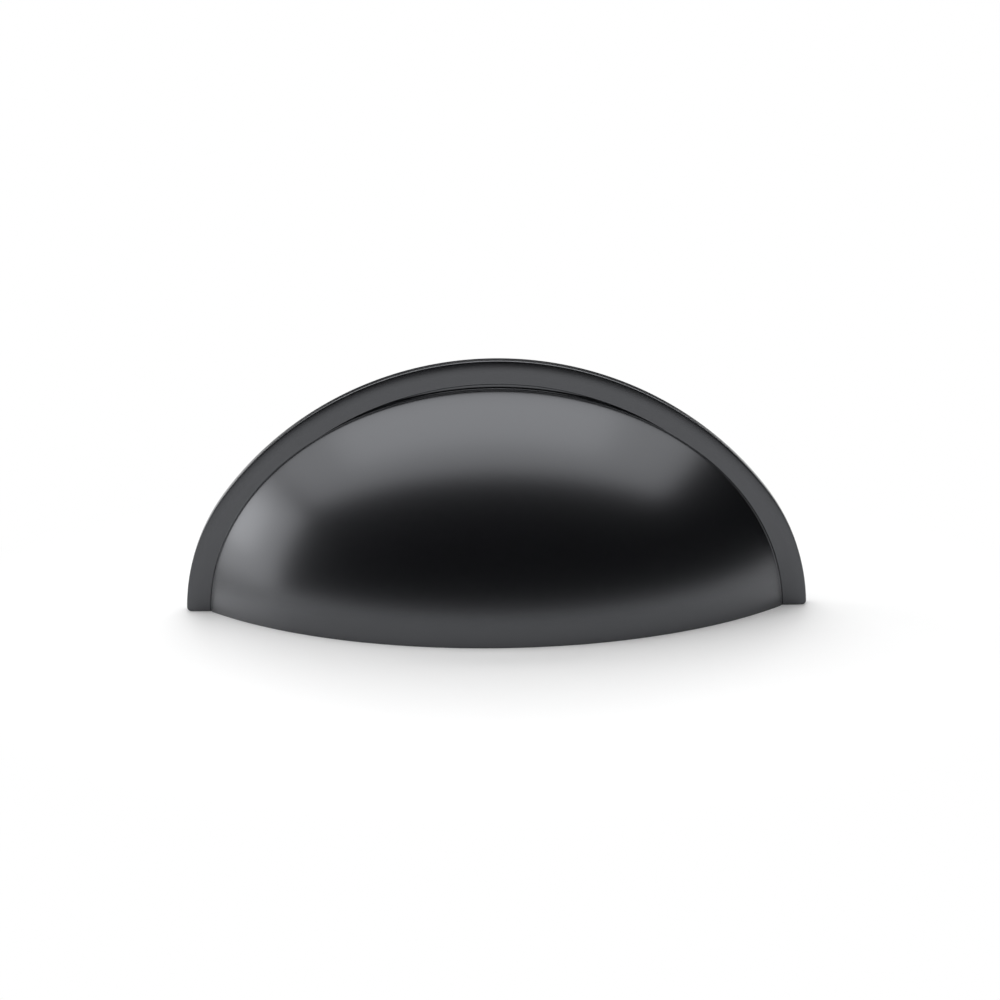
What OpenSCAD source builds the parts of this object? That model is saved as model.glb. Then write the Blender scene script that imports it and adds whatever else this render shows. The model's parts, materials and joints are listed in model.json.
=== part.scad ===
// Cup pull for a drawer: a hollow quarter dome cast in one piece with a flat flange.
// It stands on its lower edge: +Z is up, the dome looks along -Y and the flat back looks along +Y.
// The origin is at the middle of the footprint, on the lower edge.

/* [Flange] */
// Width of the flange from foot to foot
flange_w = 104; // [96:1:116]
// Height of the flange from its lower edge to its crown
flange_h = 42.6; // [38:0.2:47]
// Thickness of the flange
flange_t = 2.5; // [2:0.1:4]
// Width of the raised band along the edge of the flange
band_w = 4; // [3.2:0.1:5]
// How far the band stands out from the plate inside it
band_rise = 0.4; // [0.1:0.05:0.6]
// Width of the outer part of the band, which falls away towards the edge
fall_w = 2; // [1:0.1:2.5]
// Radius of the curve in which the band falls away
fall_r = 9; // [6:0.5:14]
// Radius of the front edge of the flange
rim_r = 0.4; // [0.2:0.05:0.8]
// Radius of the flange's lower outer corners, seen from the front
corner_r = 0.8; // [0.3:0.1:2]

/* [Dome] */
// How far the dome stands out from the face of the flange
dome_out = 22.5; // [18:0.5:28]
// Width of the flange that shows beside the dome at each foot
foot_show = 3.9; // [3:0.1:6]
// Width of the flange that shows above the dome
crown_show = 4.9; // [3:0.1:6]
// Thickness of the dome's wall
wall = 2; // [1.5:0.1:3]

/* [Root of the dome] */
// Radius of the cove between the plate and the dome
cove_r = 0.8; // [0.6:0.1:1.5]
// Radius of the fine groove that runs round the root of the dome
groove_r = 0.2; // [0.1:0.05:0.4]
// Width of the land between the cove and the fine groove
groove_land = 0.3; // [0.2:0.05:0.8]

/* [Fixings] */
// Distance between the centres of the two screws
fixing_spacing = 64; // [56:1:68]
// Height of the screws above the lower edge
fixing_h = 18; // [14:0.5:20]
// Core diameter of the screw thread
core_d = 3.3; // [2.5:0.1:3.7]
// Outer diameter of the screw thread, to which the mouth of each hole opens
thread_d = 4; // [3.8:0.1:5]
// Outer diameter of each screw boss
boss_d = 8; // [7:0.5:9]
// Metal left between the end of a screw hole and the outside of the dome
hole_floor = 2; // [1.5:0.1:3]

/* [Hidden] */

// How far a cut runs past the metal
overrun = 1;
$fn = 200;

// The flange's outline is an arch of three arcs that share their tangents: one at the crown and one above each foot.
// The centres are the corners of two triangles of 3, 4 and 5 steps, back to back, as a mason strikes such an arch.
step = (flange_w / 2 - flange_h) / 2;
foot_x = 4 * step;
crown_y = -3 * step;
foot_r = flange_w / 2 - foot_x;
crown_r = foot_r + norm([foot_x, crown_y]);
reach = flange_w / 4;

// The flange is a plate with a raised band. The band's curve touches the rounded front edge at touch_w past its start.
plate_t = flange_t - band_rise;
section_w = max(band_w, foot_show, crown_show) + wall;
fall_x = section_w - fall_w;
edge_h = flange_t - fall_r + sqrt(pow(fall_r - rim_r, 2) - pow(fall_w - rim_r, 2));
touch_w = (fall_w - rim_r) * fall_r / (fall_r - rim_r);

// The dome is part of a ball pressed flat along the pull's height. Its centre lies behind the flange.
base_x = flange_w / 2 - foot_show;
base_y = flange_h - crown_show;
ball_r = (pow(base_x, 2) + pow(dome_out, 2)) / (2 * dome_out);
ball_z = flange_t + dome_out - ball_r;
press = base_y / base_x;

// The cove touches the plate and the ball.
cove_x = sqrt(pow(ball_r + cove_r, 2) - pow(plate_t + cove_r - ball_z, 2));
cove_a = atan2(plate_t + cove_r - ball_z, cove_x);
groove_a = cove_a + (groove_land + groove_r) / ball_r * 180 / PI;
slab_x = cove_x + groove_land;

// Each screw hole ends short of the outside of the dome at the point where the dome is nearest.
fixing_x = fixing_spacing / 2;
near_x = fixing_x + core_d / 2;
near_y = fixing_h + core_d / 2;
hole_depth = ball_z + sqrt(pow(ball_r, 2) - pow(near_x, 2) - pow(near_y / press, 2)) - hole_floor;
mouth_h = (thread_d - core_d) / 2;

depth = flange_t + dome_out;

// The modules below work in the plane of the flange: x is across, y is up and z goes out from the flat back.

module flange_section() {
    square([fall_x, plate_t]);
    translate([section_w - band_w, 0]) square([band_w - fall_w, flange_t]);
    intersection() {
        translate([fall_x, flange_t - fall_r]) circle(r = fall_r);
        translate([fall_x, 0]) square([touch_w, flange_t]);
    }
    square([section_w, edge_h]);
    translate([section_w - rim_r, edge_h]) circle(r = rim_r);
}

// A stretch of the flange, from the x axis round to the angle sweep, inside a prism of the given outline
module flange_arc(centre, radius, sweep, outline) {
    intersection() {
        translate([centre[0], centre[1], 0])
            rotate_extrude(angle = sweep)
                translate([radius - section_w, 0]) flange_section();
        translate([0, 0, -overrun]) linear_extrude(flange_t + 2 * overrun) polygon(outline);
    }
}

// The arcs meet on the lines that join their centres, which run out past the flange to the point at far.
module flange() {
    far = [4 * reach, 3 * reach + crown_y];
    flange_arc([0, crown_y], crown_r, 180, [[0, crown_y], far, [-far[0], far[1]]]);
    both_sides()
        flange_arc([foot_x, 0], foot_r, 90, [[0, crown_y], [far[0], crown_y], far]);
}

module corner_cut() {
    translate([flange_w / 2 - corner_r, corner_r, -overrun])
        difference() {
            translate([0, -corner_r - overrun])
                cube([corner_r + overrun, corner_r + overrun, depth + 2 * overrun]);
            cylinder(r = corner_r, h = depth + 2 * overrun);
        }
}

// Half section of the dome with its cove and its fine groove, solid inside
module dome_section() {
    difference() {
        union() {
            intersection() {
                translate([0, ball_z]) circle(r = ball_r);
                square([ball_r, depth]);
            }
            square([slab_x, plate_t]);
            difference() {
                polygon([
                    [0, plate_t],
                    [cove_x, plate_t],
                    [cove_x, plate_t + cove_r],
                    [ball_r * cos(cove_a), ball_z + ball_r * sin(cove_a)],
                    [0, ball_z + ball_r * sin(cove_a)]
                ]);
                translate([cove_x, plate_t + cove_r]) circle(r = cove_r);
            }
        }
        translate([ball_r * cos(groove_a), ball_z + ball_r * sin(groove_a)]) circle(r = groove_r);
    }
}

module dome() {
    both_sides() scale([1, press, 1]) rotate_extrude(angle = 90) dome_section();
}

// The pressed ball, smaller all round by inset
module ball(inset) {
    translate([0, 0, ball_z])
        scale([1, (ball_r * press - inset) / (ball_r - inset), 1])
            sphere(r = ball_r - inset);
}

module boss() {
    intersection() {
        translate([fixing_x, fixing_h, 0]) cylinder(d = boss_d, h = depth);
        ball(wall / 2);
    }
}

module screw_hole() {
    translate([fixing_x, fixing_h, 0]) {
        translate([0, 0, -overrun]) cylinder(d = core_d, h = hole_depth + overrun);
        translate([0, 0, -overrun]) cylinder(d1 = thread_d + 2 * overrun, d2 = core_d, h = mouth_h + overrun);
    }
}

module both_sides() {
    children();
    mirror([1, 0, 0]) children();
}

module casting() {
    difference() {
        union() {
            difference() {
                union() {
                    flange();
                    dome();
                }
                ball(wall);
                both_sides() corner_cut();
            }
            both_sides() boss();
        }
        both_sides() screw_hole();
    }
}

module cup_pull() {
    color("#111114")
        translate([0, depth / 2, 0])
            rotate([90, 0, 0]) casting();
}

cup_pull();
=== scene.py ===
import json
import math

import bmesh
import bpy
from mathutils import Matrix, Vector

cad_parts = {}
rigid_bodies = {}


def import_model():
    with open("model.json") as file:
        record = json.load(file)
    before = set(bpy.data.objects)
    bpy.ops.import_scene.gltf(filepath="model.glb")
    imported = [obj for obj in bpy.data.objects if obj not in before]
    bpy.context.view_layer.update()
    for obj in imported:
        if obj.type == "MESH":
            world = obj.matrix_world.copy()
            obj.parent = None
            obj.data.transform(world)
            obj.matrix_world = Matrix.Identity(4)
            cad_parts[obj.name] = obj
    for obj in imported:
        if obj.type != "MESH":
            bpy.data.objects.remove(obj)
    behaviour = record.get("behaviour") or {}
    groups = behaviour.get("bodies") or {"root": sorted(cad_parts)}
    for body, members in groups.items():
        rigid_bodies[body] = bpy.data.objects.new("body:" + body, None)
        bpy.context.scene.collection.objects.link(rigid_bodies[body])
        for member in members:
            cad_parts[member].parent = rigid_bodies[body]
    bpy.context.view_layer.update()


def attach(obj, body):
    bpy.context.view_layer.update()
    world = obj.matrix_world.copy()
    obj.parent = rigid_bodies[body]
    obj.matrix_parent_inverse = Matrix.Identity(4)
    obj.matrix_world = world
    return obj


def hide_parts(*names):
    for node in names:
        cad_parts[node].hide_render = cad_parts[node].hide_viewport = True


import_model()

# A cup pull: one casting with a black powder coat. All lengths are in metres.
# A profile is drawn in the plane z = 0, by its distance across and its distance out from the flat back.
MM = 0.001
BACK = 12.5 * MM

# Reach of a cut, of a fine weld, and of a coarse weld or a search for edges
TINY = MM / 10000
WELD = MM / 1000
NEAR = MM / 100

# Flange
WIDTH = 104 * MM
HEIGHT = 42.6 * MM
FLANGE_T = 2.5 * MM
BAND_W = 4 * MM
BAND_RISE = 0.4 * MM
FALL_W = 2 * MM
FALL_R = 9 * MM
RIM_R = 0.2 * MM
CORNER_R = 0.8 * MM
PLATE_T = FLANGE_T - BAND_RISE
RIM_OUT = FLANGE_T - FALL_R + math.sqrt((FALL_R - RIM_R) ** 2 - (FALL_W - RIM_R) ** 2)
FALL_TURN = math.asin((FALL_W - RIM_R) / (FALL_R - RIM_R))

# Dome
DOME_OUT = 22.5 * MM
FOOT_SHOW = 3.9 * MM
CROWN_SHOW = 4.9 * MM
WALL = 2 * MM
COVE_R = 0.8 * MM
GROOVE_R = 0.2 * MM
GROOVE_LAND = 0.3 * MM

# Screw bosses
BOSS_X = 32 * MM
BOSS_Z = 18 * MM
BOSS_R = 4 * MM
CORE_R = 1.65 * MM
THREAD_R = 2 * MM
THREAD_PITCH = 0.7 * MM
TURNS_PAST_END = 2
HOLE_END = 6.88 * MM
MOUTH_H = 0.35 * MM
BOSS_LENGTH = 18 * MM

# Rounded edges, and the narrow strips beside them that keep the flat faces flat in the shading
BACK_EDGE_R = 0.3 * MM
BAND_EDGE_R = 0.2 * MM
LOWER_EDGE_R = 0.05 * MM
MARGIN = 0.15 * MM
LOWER_MARGIN = MARGIN / 3

# The flange is an arch of three arcs, struck from the corners of triangles of 3, 4 and 5 steps.
STEP = (WIDTH / 2 - HEIGHT) / 2
FOOT_X = 4 * STEP
CROWN_Z = -3 * STEP
FOOT_TURN = math.atan2(3, 4)
CROWN_TURN = math.pi - 2 * FOOT_TURN

# The dome is part of a ball pressed along the pull's height.
BASE_X = WIDTH / 2 - FOOT_SHOW
BASE_Z = HEIGHT - CROWN_SHOW
BALL_R = (BASE_X**2 + DOME_OUT**2) / (2 * DOME_OUT)
BALL_OUT = FLANGE_T + DOME_OUT - BALL_R
PRESS = BASE_Z / BASE_X

# The photograph's camera
ELEVATION = math.radians(15.4)
ROLL = math.radians(0.64)
DISTANCE = 0.7
AIM = (0, 10 * MM, 20 * MM)
LENS = 151.2
SENSOR = 36
CLIP_START = 0.01
SHIFT_X = 0.0047
SHIFT_Y = -0.0068

# Lights and floor. A radiance of 1 is that of lit white paper.
TOP_CENTRE = (-0.12, -0.005, 1.0)
TOP_SIZE = (2.62, 0.93)
TOP_RADIANCE = 1.6
TOP_MIDDLE = 0.7
LEFT_CENTRE = (-0.985, 0.17, 0.32)
LEFT_SIZE = (1.0, 0.64)
LEFT_RADIANCE = 2.0
LEFT_MIDDLE = 1.5
REAR_CENTRE = (0, 1.15, 1.1)
REAR_SIZE = (2.4, 0.8)
REAR_RADIANCE = 3.3
MIDDLE_SHARE = 0.5
ROOM = 0.005
FLOOR_COLOUR = (0.95, 0.95, 0.95, 1)
FLOOR_GLOSS = 0.5
FLOOR_ROUGHNESS = 0.4
FLOOR_SIZE = 8
WHITE = 1
FADE_START = 0.05
FADE_END = 0.1

# Powder coat
COAT_COLOUR = (0.0055, 0.0058, 0.007, 1)
COAT_ROUGHNESS = 0.25
COAT_GLOSS = 1.0
COAT_TINT = (0.93, 0.95, 1, 1)
COAT_IOR = 1.56
PEEL_SIZE = 0.9 * MM
PEEL_DETAIL = 3
PEEL_STRENGTH = 0.12
PEEL_HEIGHT = 0.02 * MM

# How many steps each curve has
ROUND_STEPS = 180
FOOT_STEPS = 28
CROWN_STEPS = ROUND_STEPS - 2 * FOOT_STEPS
DOME_STEPS = 60
GROOVE_STEPS = 8
LAND_STEPS = 2
COVE_STEPS = 10
BAND_EDGE_STEPS = 4
FALL_STEPS = 8
RIM_STEPS = 6
BACK_EDGE_STEPS = 3
LOWER_EDGE_STEPS = 4
CORNER_STEPS = 5
BOSS_STEPS = 64
THREAD_STEPS = 24
BALL_SEGMENTS = 160
BALL_RINGS = 80

# Edges that turn by less than this are shaded smooth.
SMOOTH_ANGLE = math.radians(32)


def at(across, out):
    """The point of a profile, in the pull's own frame."""
    return Vector((across, BACK - out, 0))


def begin_profile(across, out):
    """Adds one point to the mesh in edit mode, as the start of a profile."""
    bpy.ops.mesh.select_mode(type="VERT")
    bpy.ops.mesh.select_all(action="DESELECT")
    bpy.ops.mesh.primitive_plane_add(size=MM, location=(0, 0, 0))
    bpy.ops.mesh.merge(type="CENTER")
    bpy.ops.transform.translate(value=at(across, out))


def draw_line(across, out):
    """Draws on from the last point, by so much across and out."""
    bpy.ops.mesh.extrude_vertices_move(TRANSFORM_OT_translate={"value": (across, -out, 0)})


def draw_arc(centre, turn, steps):
    """Draws on round a centre. With out pointing upwards, a positive turn is counterclockwise."""
    bpy.ops.mesh.spin(steps=steps, angle=turn, center=at(*centre), axis=(0, 0, 1))


def sweep(turns):
    """Sweeps the profile from the right over the crown, by turns of a centre, an angle and steps."""
    bpy.ops.mesh.select_linked()
    for (x, z), angle, steps in turns:
        bpy.ops.mesh.spin(steps=steps, angle=angle, center=(x, 0, z), axis=(0, 1, 0))
    bpy.ops.mesh.select_linked()
    bpy.ops.mesh.remove_doubles(threshold=WELD)


def press_down(share):
    """Presses what is selected towards the lower edge."""
    bpy.ops.transform.resize(value=(1, 1, share), center_override=(0, 0, 0))


def fillet(ball_r, radius, base):
    """The centre of a fillet between a ball and a flat face, and the angle where it leaves the ball."""
    rise = base + radius - BALL_OUT
    across = math.sqrt((ball_r + radius) ** 2 - rise**2)
    return (across, base + radius), math.atan2(rise, across)


def new_mesh(name):
    """An empty object at the origin, in edit mode."""
    if bpy.context.object and bpy.context.object.mode == "EDIT":
        bpy.ops.object.mode_set(mode="OBJECT")
    bpy.ops.object.select_all(action="DESELECT")
    bpy.ops.mesh.primitive_plane_add(size=MM, location=(0, 0, 0))
    piece = bpy.context.object
    piece.name = name
    bpy.ops.object.mode_set(mode="EDIT")
    bpy.ops.mesh.select_all(action="SELECT")
    bpy.ops.mesh.delete(type="VERT")
    return piece


def select_edges(piece, wanted):
    """Selects the edges whose two ends, as points, and whose number of faces are wanted."""
    bpy.ops.mesh.select_mode(type="EDGE")
    bpy.ops.mesh.select_all(action="DESELECT")
    mesh = bmesh.from_edit_mesh(piece.data)
    for edge in mesh.edges:
        first, second = (corner.co for corner in edge.verts)
        if wanted(first, second, len(edge.link_faces)):
            edge.select_set(True)
    mesh.select_flush_mode()
    bmesh.update_edit_mesh(piece.data)


def close_open_edges(piece):
    """Fills each loop of edges that has a face on one side only, and turns all faces outwards."""
    select_edges(piece, lambda first, second, faces: faces == 1)
    bpy.ops.mesh.edge_face_add()
    bpy.ops.mesh.select_all(action="SELECT")
    bpy.ops.mesh.normals_make_consistent(inside=False)


def bridge_open_edges(piece, out):
    """Joins the two open edges that lie at one distance out from the flat back."""
    y = BACK - out

    def wanted(first, second, faces):
        on_plane = abs(first.y - y) < NEAR and abs(second.y - y) < NEAR
        on_floor = first.z < NEAR and second.z < NEAR
        return faces == 1 and on_plane and not on_floor

    select_edges(piece, wanted)
    bpy.ops.mesh.bridge_edge_loops()


def draw_dome():
    """The outside of the dome, from its tip to the plate: ball, fine groove, land and cove."""
    cove, cove_a = fillet(BALL_R, COVE_R, PLATE_T)
    groove_a = cove_a + (GROOVE_LAND + GROOVE_R) / BALL_R
    half = 2 * math.asin(GROOVE_R / (2 * BALL_R))
    groove = (BALL_R * math.cos(groove_a), BALL_OUT + BALL_R * math.sin(groove_a))
    ball = (0, BALL_OUT)
    begin_profile(0, BALL_OUT + BALL_R)
    draw_arc(ball, groove_a + half - math.pi / 2, DOME_STEPS)
    draw_arc(groove, math.pi - half, GROOVE_STEPS)
    draw_arc(ball, cove_a - groove_a + half, LAND_STEPS)
    draw_arc(cove, math.pi / 2 - cove_a, COVE_STEPS)
    draw_line(MARGIN, 0)
    sweep([((0, 0), math.pi, ROUND_STEPS)])
    press_down(PRESS)


def sweep_arch():
    """Sweeps the profile along the arch of the flange."""
    sweep([
        ((FOOT_X, 0), FOOT_TURN, FOOT_STEPS),
        ((0, CROWN_Z), CROWN_TURN, CROWN_STEPS),
        ((-FOOT_X, 0), FOOT_TURN, FOOT_STEPS),
    ])


def draw_plate_edge():
    """The outer edge of the plate, which ends inside the band."""
    begin_profile(WIDTH / 2 - FALL_W, PLATE_T)
    draw_line(0, -PLATE_T)
    sweep_arch()


def make_band():
    """The raised band. Its face falls away to a rounded front edge, and its back edge is rounded too."""
    band = new_mesh("band")
    inner = WIDTH / 2 - BAND_W
    begin_profile(inner, 0)
    draw_line(0, FLANGE_T - BAND_EDGE_R)
    draw_arc((inner + BAND_EDGE_R, FLANGE_T - BAND_EDGE_R), -math.pi / 2, BAND_EDGE_STEPS)
    draw_line(MARGIN, 0)
    draw_line(BAND_W - FALL_W - BAND_EDGE_R - MARGIN, 0)
    draw_arc((WIDTH / 2 - FALL_W, FLANGE_T - FALL_R), -FALL_TURN, FALL_STEPS)
    draw_arc((WIDTH / 2 - RIM_R, RIM_OUT), FALL_TURN - math.pi / 2, RIM_STEPS)
    draw_line(0, BACK_EDGE_R - RIM_OUT)
    draw_arc((WIDTH / 2 - BACK_EDGE_R, BACK_EDGE_R), -math.pi / 2, BACK_EDGE_STEPS)
    draw_line(-MARGIN, 0)
    draw_line(MARGIN + BACK_EDGE_R - BAND_W, 0)
    sweep_arch()
    close_open_edges(band)
    bpy.ops.object.mode_set(mode="OBJECT")
    return band


def draw_cavity():
    """The inside of the dome, from its deepest point to the flat back."""
    inner_r = BALL_R - WALL
    edge, edge_a = fillet(inner_r, BACK_EDGE_R, 0)
    begin_profile(0, BALL_OUT + inner_r)
    draw_arc((0, BALL_OUT), edge_a - math.pi / 2, DOME_STEPS)
    draw_arc(edge, math.pi / 2 - edge_a, BACK_EDGE_STEPS)
    draw_line(MARGIN, 0)
    sweep([((0, 0), math.pi, ROUND_STEPS)])
    press_down((BALL_R * PRESS - WALL) / inner_r)


def close_lower_edge(piece):
    """Cuts the shell level just above the floor and closes it with a rounded edge down to the floor."""
    bpy.ops.mesh.select_all(action="SELECT")
    bpy.ops.mesh.bisect(
        plane_co=(0, 0, LOWER_EDGE_R),
        plane_no=(0, 0, 1),
        clear_inner=True,
        threshold=TINY,
    )
    bpy.ops.mesh.select_all(action="SELECT")
    bpy.ops.mesh.remove_doubles(threshold=NEAR)
    close_open_edges(piece)
    bpy.ops.mesh.select_mode(type="FACE")
    bpy.ops.mesh.select_all(action="DESELECT")
    mesh = bmesh.from_edit_mesh(piece.data)
    max(mesh.faces, key=lambda face: len(face.verts)).select_set(True)
    bmesh.update_edit_mesh(piece.data)
    for i in range(LOWER_EDGE_STEPS):
        low, high = (math.pi / 2 * turn / LOWER_EDGE_STEPS for turn in (i, i + 1))
        inward = LOWER_EDGE_R * (math.cos(low) - math.cos(high))
        down = LOWER_EDGE_R * (math.sin(high) - math.sin(low))
        bpy.ops.mesh.inset(thickness=inward, depth=down, use_even_offset=False)
    bpy.ops.mesh.inset(thickness=LOWER_MARGIN, depth=0, use_even_offset=False)


def round_foot_corners():
    """Rounds the lower outer corners of the flange, seen from the front."""
    for side in (-1, 1):
        centre = Vector((side * (WIDTH / 2 - CORNER_R), 0, CORNER_R))
        for i in range(CORNER_STEPS):
            angle = math.pi / 2 * (i + 0.5) / CORNER_STEPS
            normal = Vector((side * math.cos(angle), 0, -math.sin(angle)))
            bpy.ops.mesh.select_all(action="SELECT")
            bpy.ops.mesh.bisect(
                plane_co=centre + CORNER_R * normal,
                plane_no=normal,
                use_fill=True,
                clear_outer=True,
                threshold=TINY,
            )


def apply_modifier(piece, kind, **settings):
    """Puts one modifier on a piece and applies it."""
    bpy.ops.object.select_all(action="DESELECT")
    piece.select_set(True)
    bpy.context.view_layer.objects.active = piece
    modifier = piece.modifiers.new(kind.lower(), kind)
    for name, value in settings.items():
        setattr(modifier, name, value)
    bpy.ops.object.modifier_apply(modifier=modifier.name)


def make_shell():
    """The hollow dome and its flange, without the screw bosses."""
    shell = new_mesh("cup_pull_casting")
    draw_dome()
    draw_plate_edge()
    draw_cavity()
    bridge_open_edges(shell, PLATE_T)
    bridge_open_edges(shell, 0)
    close_open_edges(shell)
    band = make_band()
    apply_modifier(shell, "BOOLEAN", operation="UNION", object=band, solver="EXACT")
    bpy.data.objects.remove(band)
    bpy.ops.object.mode_set(mode="EDIT")
    close_lower_edge(shell)
    round_foot_corners()
    bpy.ops.object.mode_set(mode="OBJECT")
    return shell


def keep_outs(low, high):
    """Cuts away what lies nearer to the flat back than low, or further out than high."""
    for out, side in ((low, "clear_outer"), (high, "clear_inner")):
        bpy.ops.mesh.select_all(action="SELECT")
        bpy.ops.mesh.bisect(plane_co=at(0, out), plane_no=(0, 1, 0), threshold=TINY, **{side: True})


def make_thread():
    """The wall of a tapped hole and its flat end, round the y axis. Its helix is right-handed."""
    crest = THREAD_PITCH / 4
    root = THREAD_PITCH / 8
    flank = (THREAD_PITCH - crest - root) / 2
    thread = new_mesh("thread")
    begin_profile(CORE_R, HOLE_END + TURNS_PAST_END * THREAD_PITCH)
    draw_line(0, -crest)
    draw_line(THREAD_R - CORE_R, -flank)
    draw_line(0, -root)
    draw_line(CORE_R - THREAD_R, -flank)
    bpy.ops.object.mode_set(mode="OBJECT")
    apply_modifier(
        thread,
        "SCREW",
        axis="Y",
        angle=2 * math.pi,
        screw_offset=THREAD_PITCH,
        iterations=math.ceil(HOLE_END / THREAD_PITCH) + TURNS_PAST_END,
        steps=THREAD_STEPS,
        render_steps=THREAD_STEPS,
    )
    bpy.ops.object.mode_set(mode="EDIT")
    bpy.ops.mesh.select_all(action="SELECT")
    bpy.ops.mesh.remove_doubles(threshold=WELD)
    keep_outs(MOUTH_H, HOLE_END)
    end_y = at(0, HOLE_END).y

    def at_end(first, second, faces):
        return faces == 1 and max(first.y, second.y) < end_y + NEAR

    select_edges(thread, at_end)
    bpy.ops.mesh.edge_face_add()
    bpy.ops.object.mode_set(mode="OBJECT")
    return thread


def make_boss():
    """The right-hand screw boss with its tapped hole, longer than it ends up."""
    thread = make_thread()
    boss = new_mesh("screw_boss")
    begin_profile(THREAD_R, 0)
    draw_line(BOSS_R - BACK_EDGE_R - THREAD_R, 0)
    draw_arc((BOSS_R - BACK_EDGE_R, BACK_EDGE_R), math.pi / 2, BACK_EDGE_STEPS)
    draw_line(0, BOSS_LENGTH - BACK_EDGE_R)
    draw_line(-BOSS_R, 0)
    sweep([((0, 0), 2 * math.pi, BOSS_STEPS)])
    bpy.ops.object.mode_set(mode="OBJECT")
    thread.select_set(True)
    boss.select_set(True)
    bpy.context.view_layer.objects.active = boss
    bpy.ops.object.join()
    bpy.ops.object.mode_set(mode="EDIT")
    select_edges(boss, lambda first, second, faces: faces == 1)
    bpy.ops.mesh.bridge_edge_loops()
    bpy.ops.mesh.select_all(action="SELECT")
    bpy.ops.mesh.normals_make_consistent(inside=False)
    bpy.ops.transform.translate(value=(BOSS_X, 0, BOSS_Z))
    bpy.ops.object.mode_set(mode="OBJECT")
    return boss


def copy_across(piece, distance):
    """A copy of a piece with its own mesh, moved along x in edit mode."""
    bpy.ops.object.select_all(action="DESELECT")
    piece.select_set(True)
    bpy.context.view_layer.objects.active = piece
    bpy.ops.object.duplicate()
    twin = bpy.context.object
    bpy.ops.object.mode_set(mode="EDIT")
    bpy.ops.mesh.select_all(action="SELECT")
    bpy.ops.transform.translate(value=(distance, 0, 0))
    bpy.ops.object.mode_set(mode="OBJECT")
    return twin


def make_inner_ball():
    """A pressed ball that ends in the middle of the dome's wall, where it cuts the bosses off."""
    radius = BALL_R - WALL / 2
    bpy.ops.object.select_all(action="DESELECT")
    bpy.ops.mesh.primitive_uv_sphere_add(
        segments=BALL_SEGMENTS,
        ring_count=BALL_RINGS,
        radius=radius,
        location=at(0, BALL_OUT),
    )
    ball = bpy.context.object
    bpy.ops.object.mode_set(mode="EDIT")
    bpy.ops.mesh.select_all(action="SELECT")
    press_down((BALL_R * PRESS - WALL / 2) / radius)
    bpy.ops.object.mode_set(mode="OBJECT")
    return ball


def make_casting():
    """The whole pull as one closed mesh."""
    casting = make_shell()
    boss = make_boss()
    ball = make_inner_ball()
    for piece in (boss, copy_across(boss, -2 * BOSS_X)):
        apply_modifier(piece, "BOOLEAN", operation="INTERSECT", object=ball, solver="EXACT")
        apply_modifier(casting, "BOOLEAN", operation="UNION", object=piece, solver="EXACT")
        bpy.data.objects.remove(piece)
    bpy.data.objects.remove(ball)
    bpy.ops.object.shade_smooth_by_angle(angle=SMOOTH_ANGLE)
    apply_modifier(casting, "WEIGHTED_NORMAL", mode="FACE_AREA_WITH_ANGLE", keep_sharp=True)
    return casting


def new_material(name, colour, roughness, gloss):
    """A plain material of one colour, with its nodes, its links and its shader."""
    material = bpy.data.materials.new(name)
    material.use_nodes = True
    nodes = material.node_tree.nodes
    shader = nodes["Principled BSDF"]
    shader.inputs["Base Color"].default_value = colour
    shader.inputs["Roughness"].default_value = roughness
    shader.inputs["Specular IOR Level"].default_value = gloss
    return material, nodes, material.node_tree.links, shader


def powder_coat():
    """Satin black powder coat: nearly black, with the fine orange peel of a baked coat."""
    coat, nodes, links, shader = new_material(
        "black_powder_coat", COAT_COLOUR, COAT_ROUGHNESS, COAT_GLOSS
    )
    shader.inputs["Specular Tint"].default_value = COAT_TINT
    shader.inputs["IOR"].default_value = COAT_IOR
    place = nodes.new("ShaderNodeTexCoord")
    peel = nodes.new("ShaderNodeTexNoise")
    peel.inputs["Scale"].default_value = 1 / PEEL_SIZE
    peel.inputs["Detail"].default_value = PEEL_DETAIL
    bump = nodes.new("ShaderNodeBump")
    bump.inputs["Strength"].default_value = PEEL_STRENGTH
    bump.inputs["Distance"].default_value = PEEL_HEIGHT
    links.new(place.outputs["Object"], peel.inputs["Vector"])
    links.new(peel.outputs["Fac"], bump.inputs["Height"])
    links.new(bump.outputs["Normal"], shader.inputs["Normal"])
    return coat


def add_math(nodes, operation):
    """A new node that does one sum."""
    node = nodes.new("ShaderNodeMath")
    node.operation = operation
    return node


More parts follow.
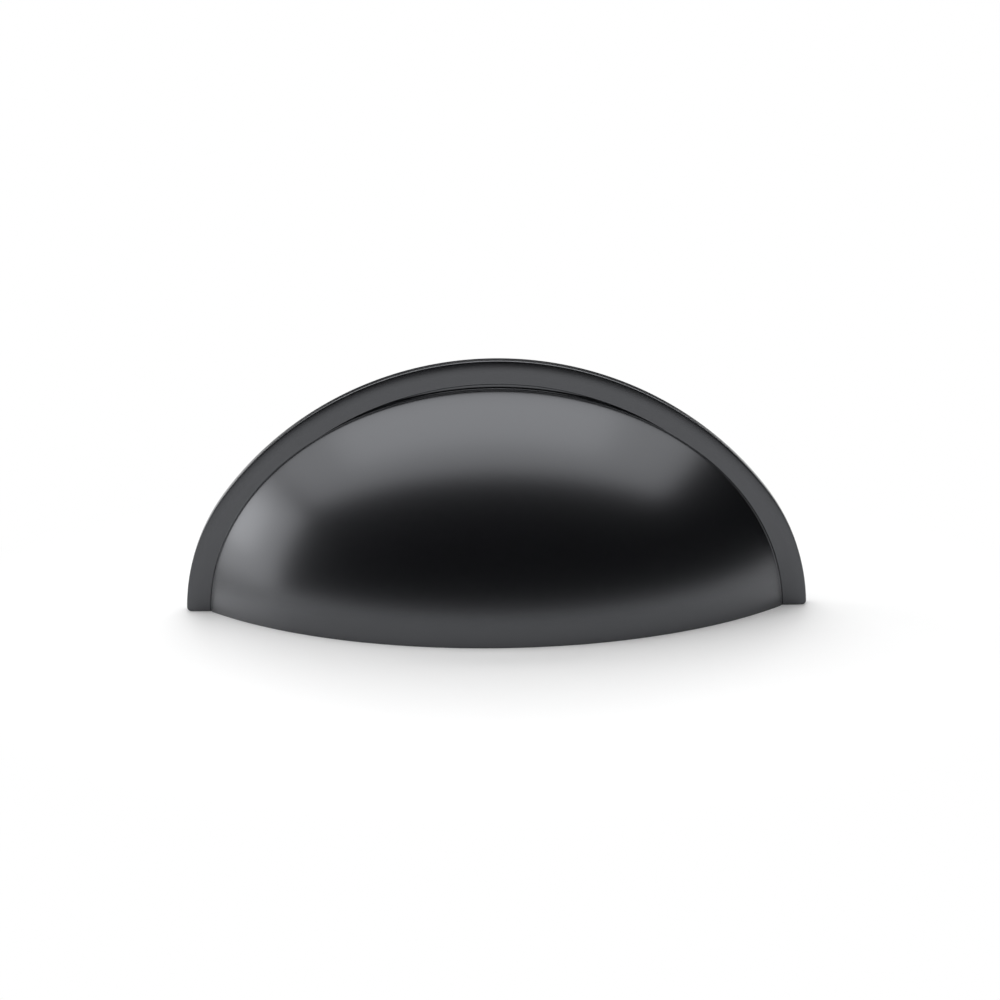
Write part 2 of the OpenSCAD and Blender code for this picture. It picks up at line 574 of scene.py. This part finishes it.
def white_floor_material():
    """A white studio floor that takes the shadow near the pull and is plain white further off."""
    paper, nodes, links, shader = new_material(
        "white_floor", FLOOR_COLOUR, FLOOR_ROUGHNESS, FLOOR_GLOSS
    )
    place = nodes.new("ShaderNodeTexCoord")
    distance = nodes.new("ShaderNodeVectorMath")
    distance.operation = "LENGTH"
    far = nodes.new("ShaderNodeMapRange")
    far.interpolation_type = "SMOOTHSTEP"
    far.inputs["From Min"].default_value = FADE_START
    far.inputs["From Max"].default_value = FADE_END
    rays = nodes.new("ShaderNodeLightPath")
    seen = add_math(nodes, "MAXIMUM")
    also_seen = add_math(nodes, "MAXIMUM")
    share = add_math(nodes, "MULTIPLY")
    white = nodes.new("ShaderNodeEmission")
    white.inputs["Strength"].default_value = WHITE
    mix = nodes.new("ShaderNodeMixShader")
    links.new(place.outputs["Object"], distance.inputs[0])
    links.new(distance.outputs["Value"], far.inputs["Value"])
    links.new(rays.outputs["Is Camera Ray"], seen.inputs[0])
    links.new(rays.outputs["Is Glossy Ray"], seen.inputs[1])
    links.new(seen.outputs[0], also_seen.inputs[0])
    links.new(rays.outputs["Is Transmission Ray"], also_seen.inputs[1])
    links.new(far.outputs[0], share.inputs[0])
    links.new(also_seen.outputs[0], share.inputs[1])
    links.new(share.outputs[0], mix.inputs["Fac"])
    links.new(shader.outputs[0], mix.inputs[1])
    links.new(white.outputs[0], mix.inputs[2])
    links.new(mix.outputs[0], nodes["Material Output"].inputs["Surface"])
    return paper


def make_floor():
    """The floor that the pull stands on."""
    bpy.ops.object.select_all(action="DESELECT")
    bpy.ops.mesh.primitive_plane_add(size=FLOOR_SIZE, location=(0, 0, 0))
    floor = bpy.context.object
    floor.name = "floor"
    floor.data.materials.append(white_floor_material())


def add_panel(name, centre, size, aim, radiance):
    """A lit panel of the given width and height, with its face turned to the point aim."""
    data = bpy.data.lights.new(name, "AREA")
    data.shape = "RECTANGLE"
    data.size, data.size_y = size
    data.energy = radiance * math.pi * size[0] * size[1]
    panel = bpy.data.objects.new(name, data)
    bpy.context.scene.collection.objects.link(panel)
    panel.location = centre
    panel.rotation_euler = (Vector(aim) - Vector(centre)).to_track_quat("-Z", "Y").to_euler()
    panel.visible_camera = False


def add_softbox(name, centre, size, aim, radiance, middle):
    """A softbox: an even panel, and a smaller one just before it that makes its middle brighter."""
    add_panel(name, centre, size, aim, radiance)
    before = Vector(centre) + (Vector(aim) - Vector(centre)).normalized() * MM
    add_panel(name + "_middle", before, [MIDDLE_SHARE * side for side in size], aim, middle)


def add_lights():
    """A wide softbox overhead, a low one on the left, a plain panel behind and a dark room."""
    straight_below = (TOP_CENTRE[0], TOP_CENTRE[1], 0)
    level_with_left = (0, 0, LEFT_CENTRE[2])
    add_softbox("overhead", TOP_CENTRE, TOP_SIZE, straight_below, TOP_RADIANCE, TOP_MIDDLE)
    add_softbox("left", LEFT_CENTRE, LEFT_SIZE, level_with_left, LEFT_RADIANCE, LEFT_MIDDLE)
    add_panel("rear", REAR_CENTRE, REAR_SIZE, (0, 0, 0), REAR_RADIANCE)
    room = bpy.data.worlds.new("dark_room")
    room.use_nodes = True
    room.node_tree.nodes["Background"].inputs["Color"].default_value = (ROOM, ROOM, ROOM, 1)
    bpy.context.scene.world = room


def add_camera():
    """The camera of the photograph: a long lens, a little above the pull and slightly rolled."""
    data = bpy.data.cameras.new("camera")
    data.sensor_width = SENSOR
    data.lens = LENS
    data.shift_x = SHIFT_X
    data.shift_y = SHIFT_Y
    data.clip_start = CLIP_START
    camera = bpy.data.objects.new("camera", data)
    bpy.context.scene.collection.objects.link(camera)
    turn = Matrix.Rotation(math.pi / 2 - ELEVATION, 3, "X") @ Matrix.Rotation(-ROLL, 3, "Z")
    camera.rotation_euler = turn.to_euler()
    away = Vector((0, -math.cos(ELEVATION), math.sin(ELEVATION)))
    camera.location = Vector(AIM) + DISTANCE * away
    bpy.context.scene.camera = camera


bpy.context.scene.view_settings.view_transform = "Standard"
add_camera()
casting = make_casting()
casting.data.materials.clear()
casting.data.materials.append(powder_coat())
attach(casting, "root")
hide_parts("cup_pull")
make_floor()
add_lights()
